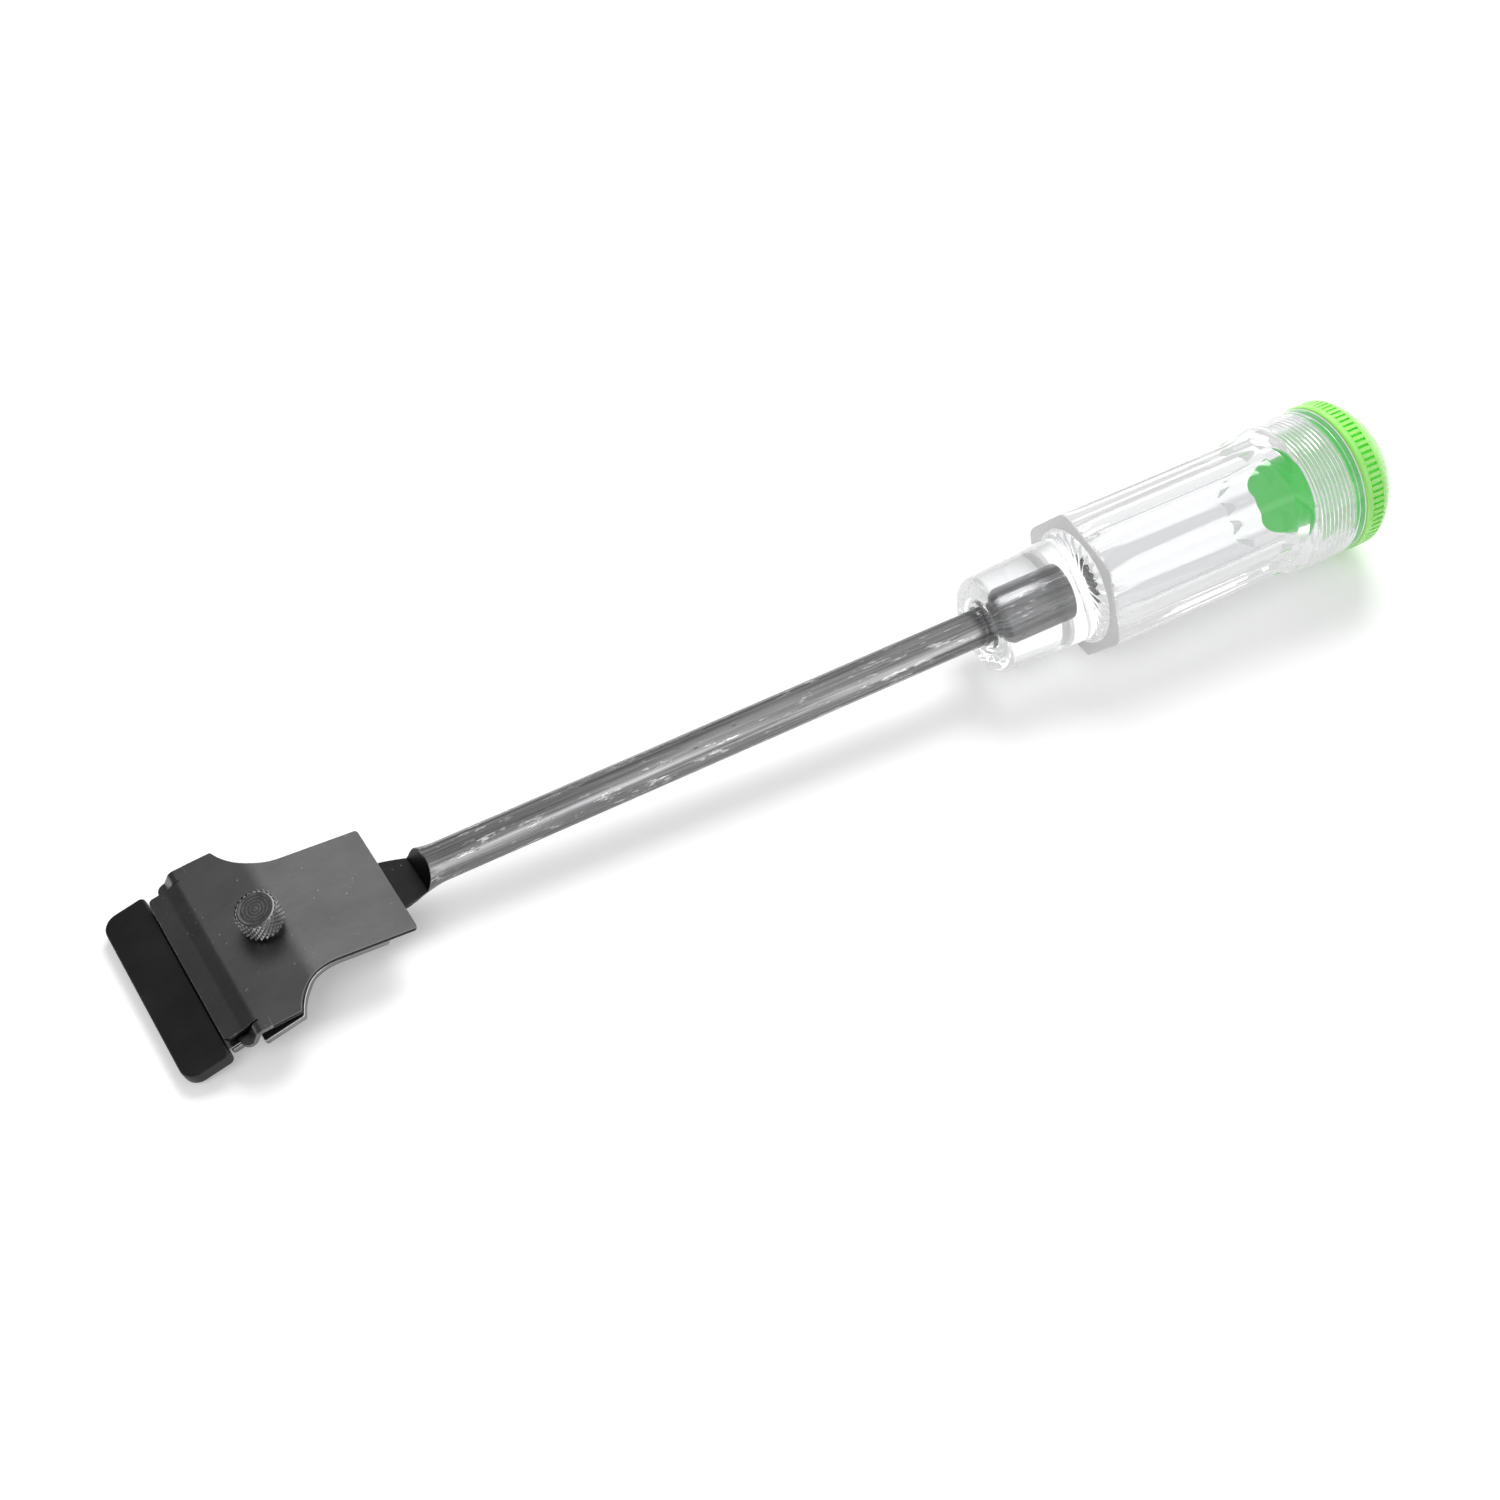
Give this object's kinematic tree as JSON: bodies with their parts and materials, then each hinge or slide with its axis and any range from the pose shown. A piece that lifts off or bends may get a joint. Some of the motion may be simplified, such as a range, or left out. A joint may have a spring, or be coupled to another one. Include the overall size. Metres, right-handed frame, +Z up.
{
  "type": "razor blade scraper",
  "caption": "Hand scraper that clamps a single-edge razor blade on a steel shaft, with a clear six-sided storage handle, green end cap and black blade guard.",
  "frame": {"origin": "Middle of the bounding box in X and Y, at its lowest point in Z, which is the lowest line of the end cap.", "axes": "+X runs along the shaft from the blade to the end cap, +Z is up and is the side of the head with the thumb screw, +Y completes a right-handed frame."},
  "size_m": [0.2916, 0.0428, 0.0338],
  "materials": {
    "clear_plastic": "clear, polished",
    "green_plastic": "bright moulded, glossy",
    "green_plug": "bright moulded, glossy",
    "shaft_steel": "drawn and scratched along its length",
    "plate_steel": "blackened, worn satin",
    "rivet_steel": "blackened, satin",
    "screw_steel": "turned, knurled, dark nickel",
    "nut_steel": "dark nickel",
    "blade_steel": "ground",
    "spine_steel": "blued, folded",
    "guard_plastic": "moulded, satin"
  },
  "bodies": {
    "tool": {"handle": "clear_plastic", "shaft": "shaft_steel", "tang_rivet_front": "rivet_steel", "tang_rivet_rear": "rivet_steel", "lower_plate": "plate_steel", "clamp_nut": "nut_steel"},
    "clamp": {"upper_plate": "plate_steel"},
    "screw": {"thumb_screw": "screw_steel"},
    "razor": {"blade": "blade_steel", "blade_spine": "spine_steel"},
    "guard": {"blade_guard": "guard_plastic"},
    "plug": {"cap_plug": "green_plug"},
    "cap": {"cap_shell": "green_plastic"}
  },
  "joints": [
    {"name": "clamp_lift", "type": "slide", "parent": "tool", "child": "clamp", "axis": [-0.2756, 0, 0.9613], "range_m": [0, 0.0032]},
    {"name": "screw_turn", "type": "hinge", "parent": "clamp", "child": "screw", "pos_m": [-0.11929, 0, 0.0193], "axis": [-0.2756, 0, 0.9613], "range_deg": [0, 1440.5]},
    {"name": "blade_slide", "type": "slide", "parent": "tool", "child": "razor", "axis": [-0.9613, 0, -0.2756], "range_m": [0, 0.022]},
    {"name": "guard_slide", "type": "slide", "parent": "razor", "child": "guard", "axis": [-0.9613, 0, -0.2756], "range_m": [0, 0.012]},
    {"name": "cap_draw", "type": "slide", "parent": "tool", "child": "plug", "axis": [1, 0, 0], "range_m": [0, 0.024]},
    {"name": "cap_turn", "type": "hinge", "parent": "plug", "child": "cap", "pos_m": [0.13403, 0, 0.0169], "axis": [1, 0, 0], "range_deg": [0, 2880.5]}
  ],
  "couplings": [
    {"joint": "screw_turn", "follows": "clamp_lift", "rad_per_m": 7854},
    {"joint": "cap_turn", "follows": "cap_draw", "rad_per_m": 2094.4}
  ]
}
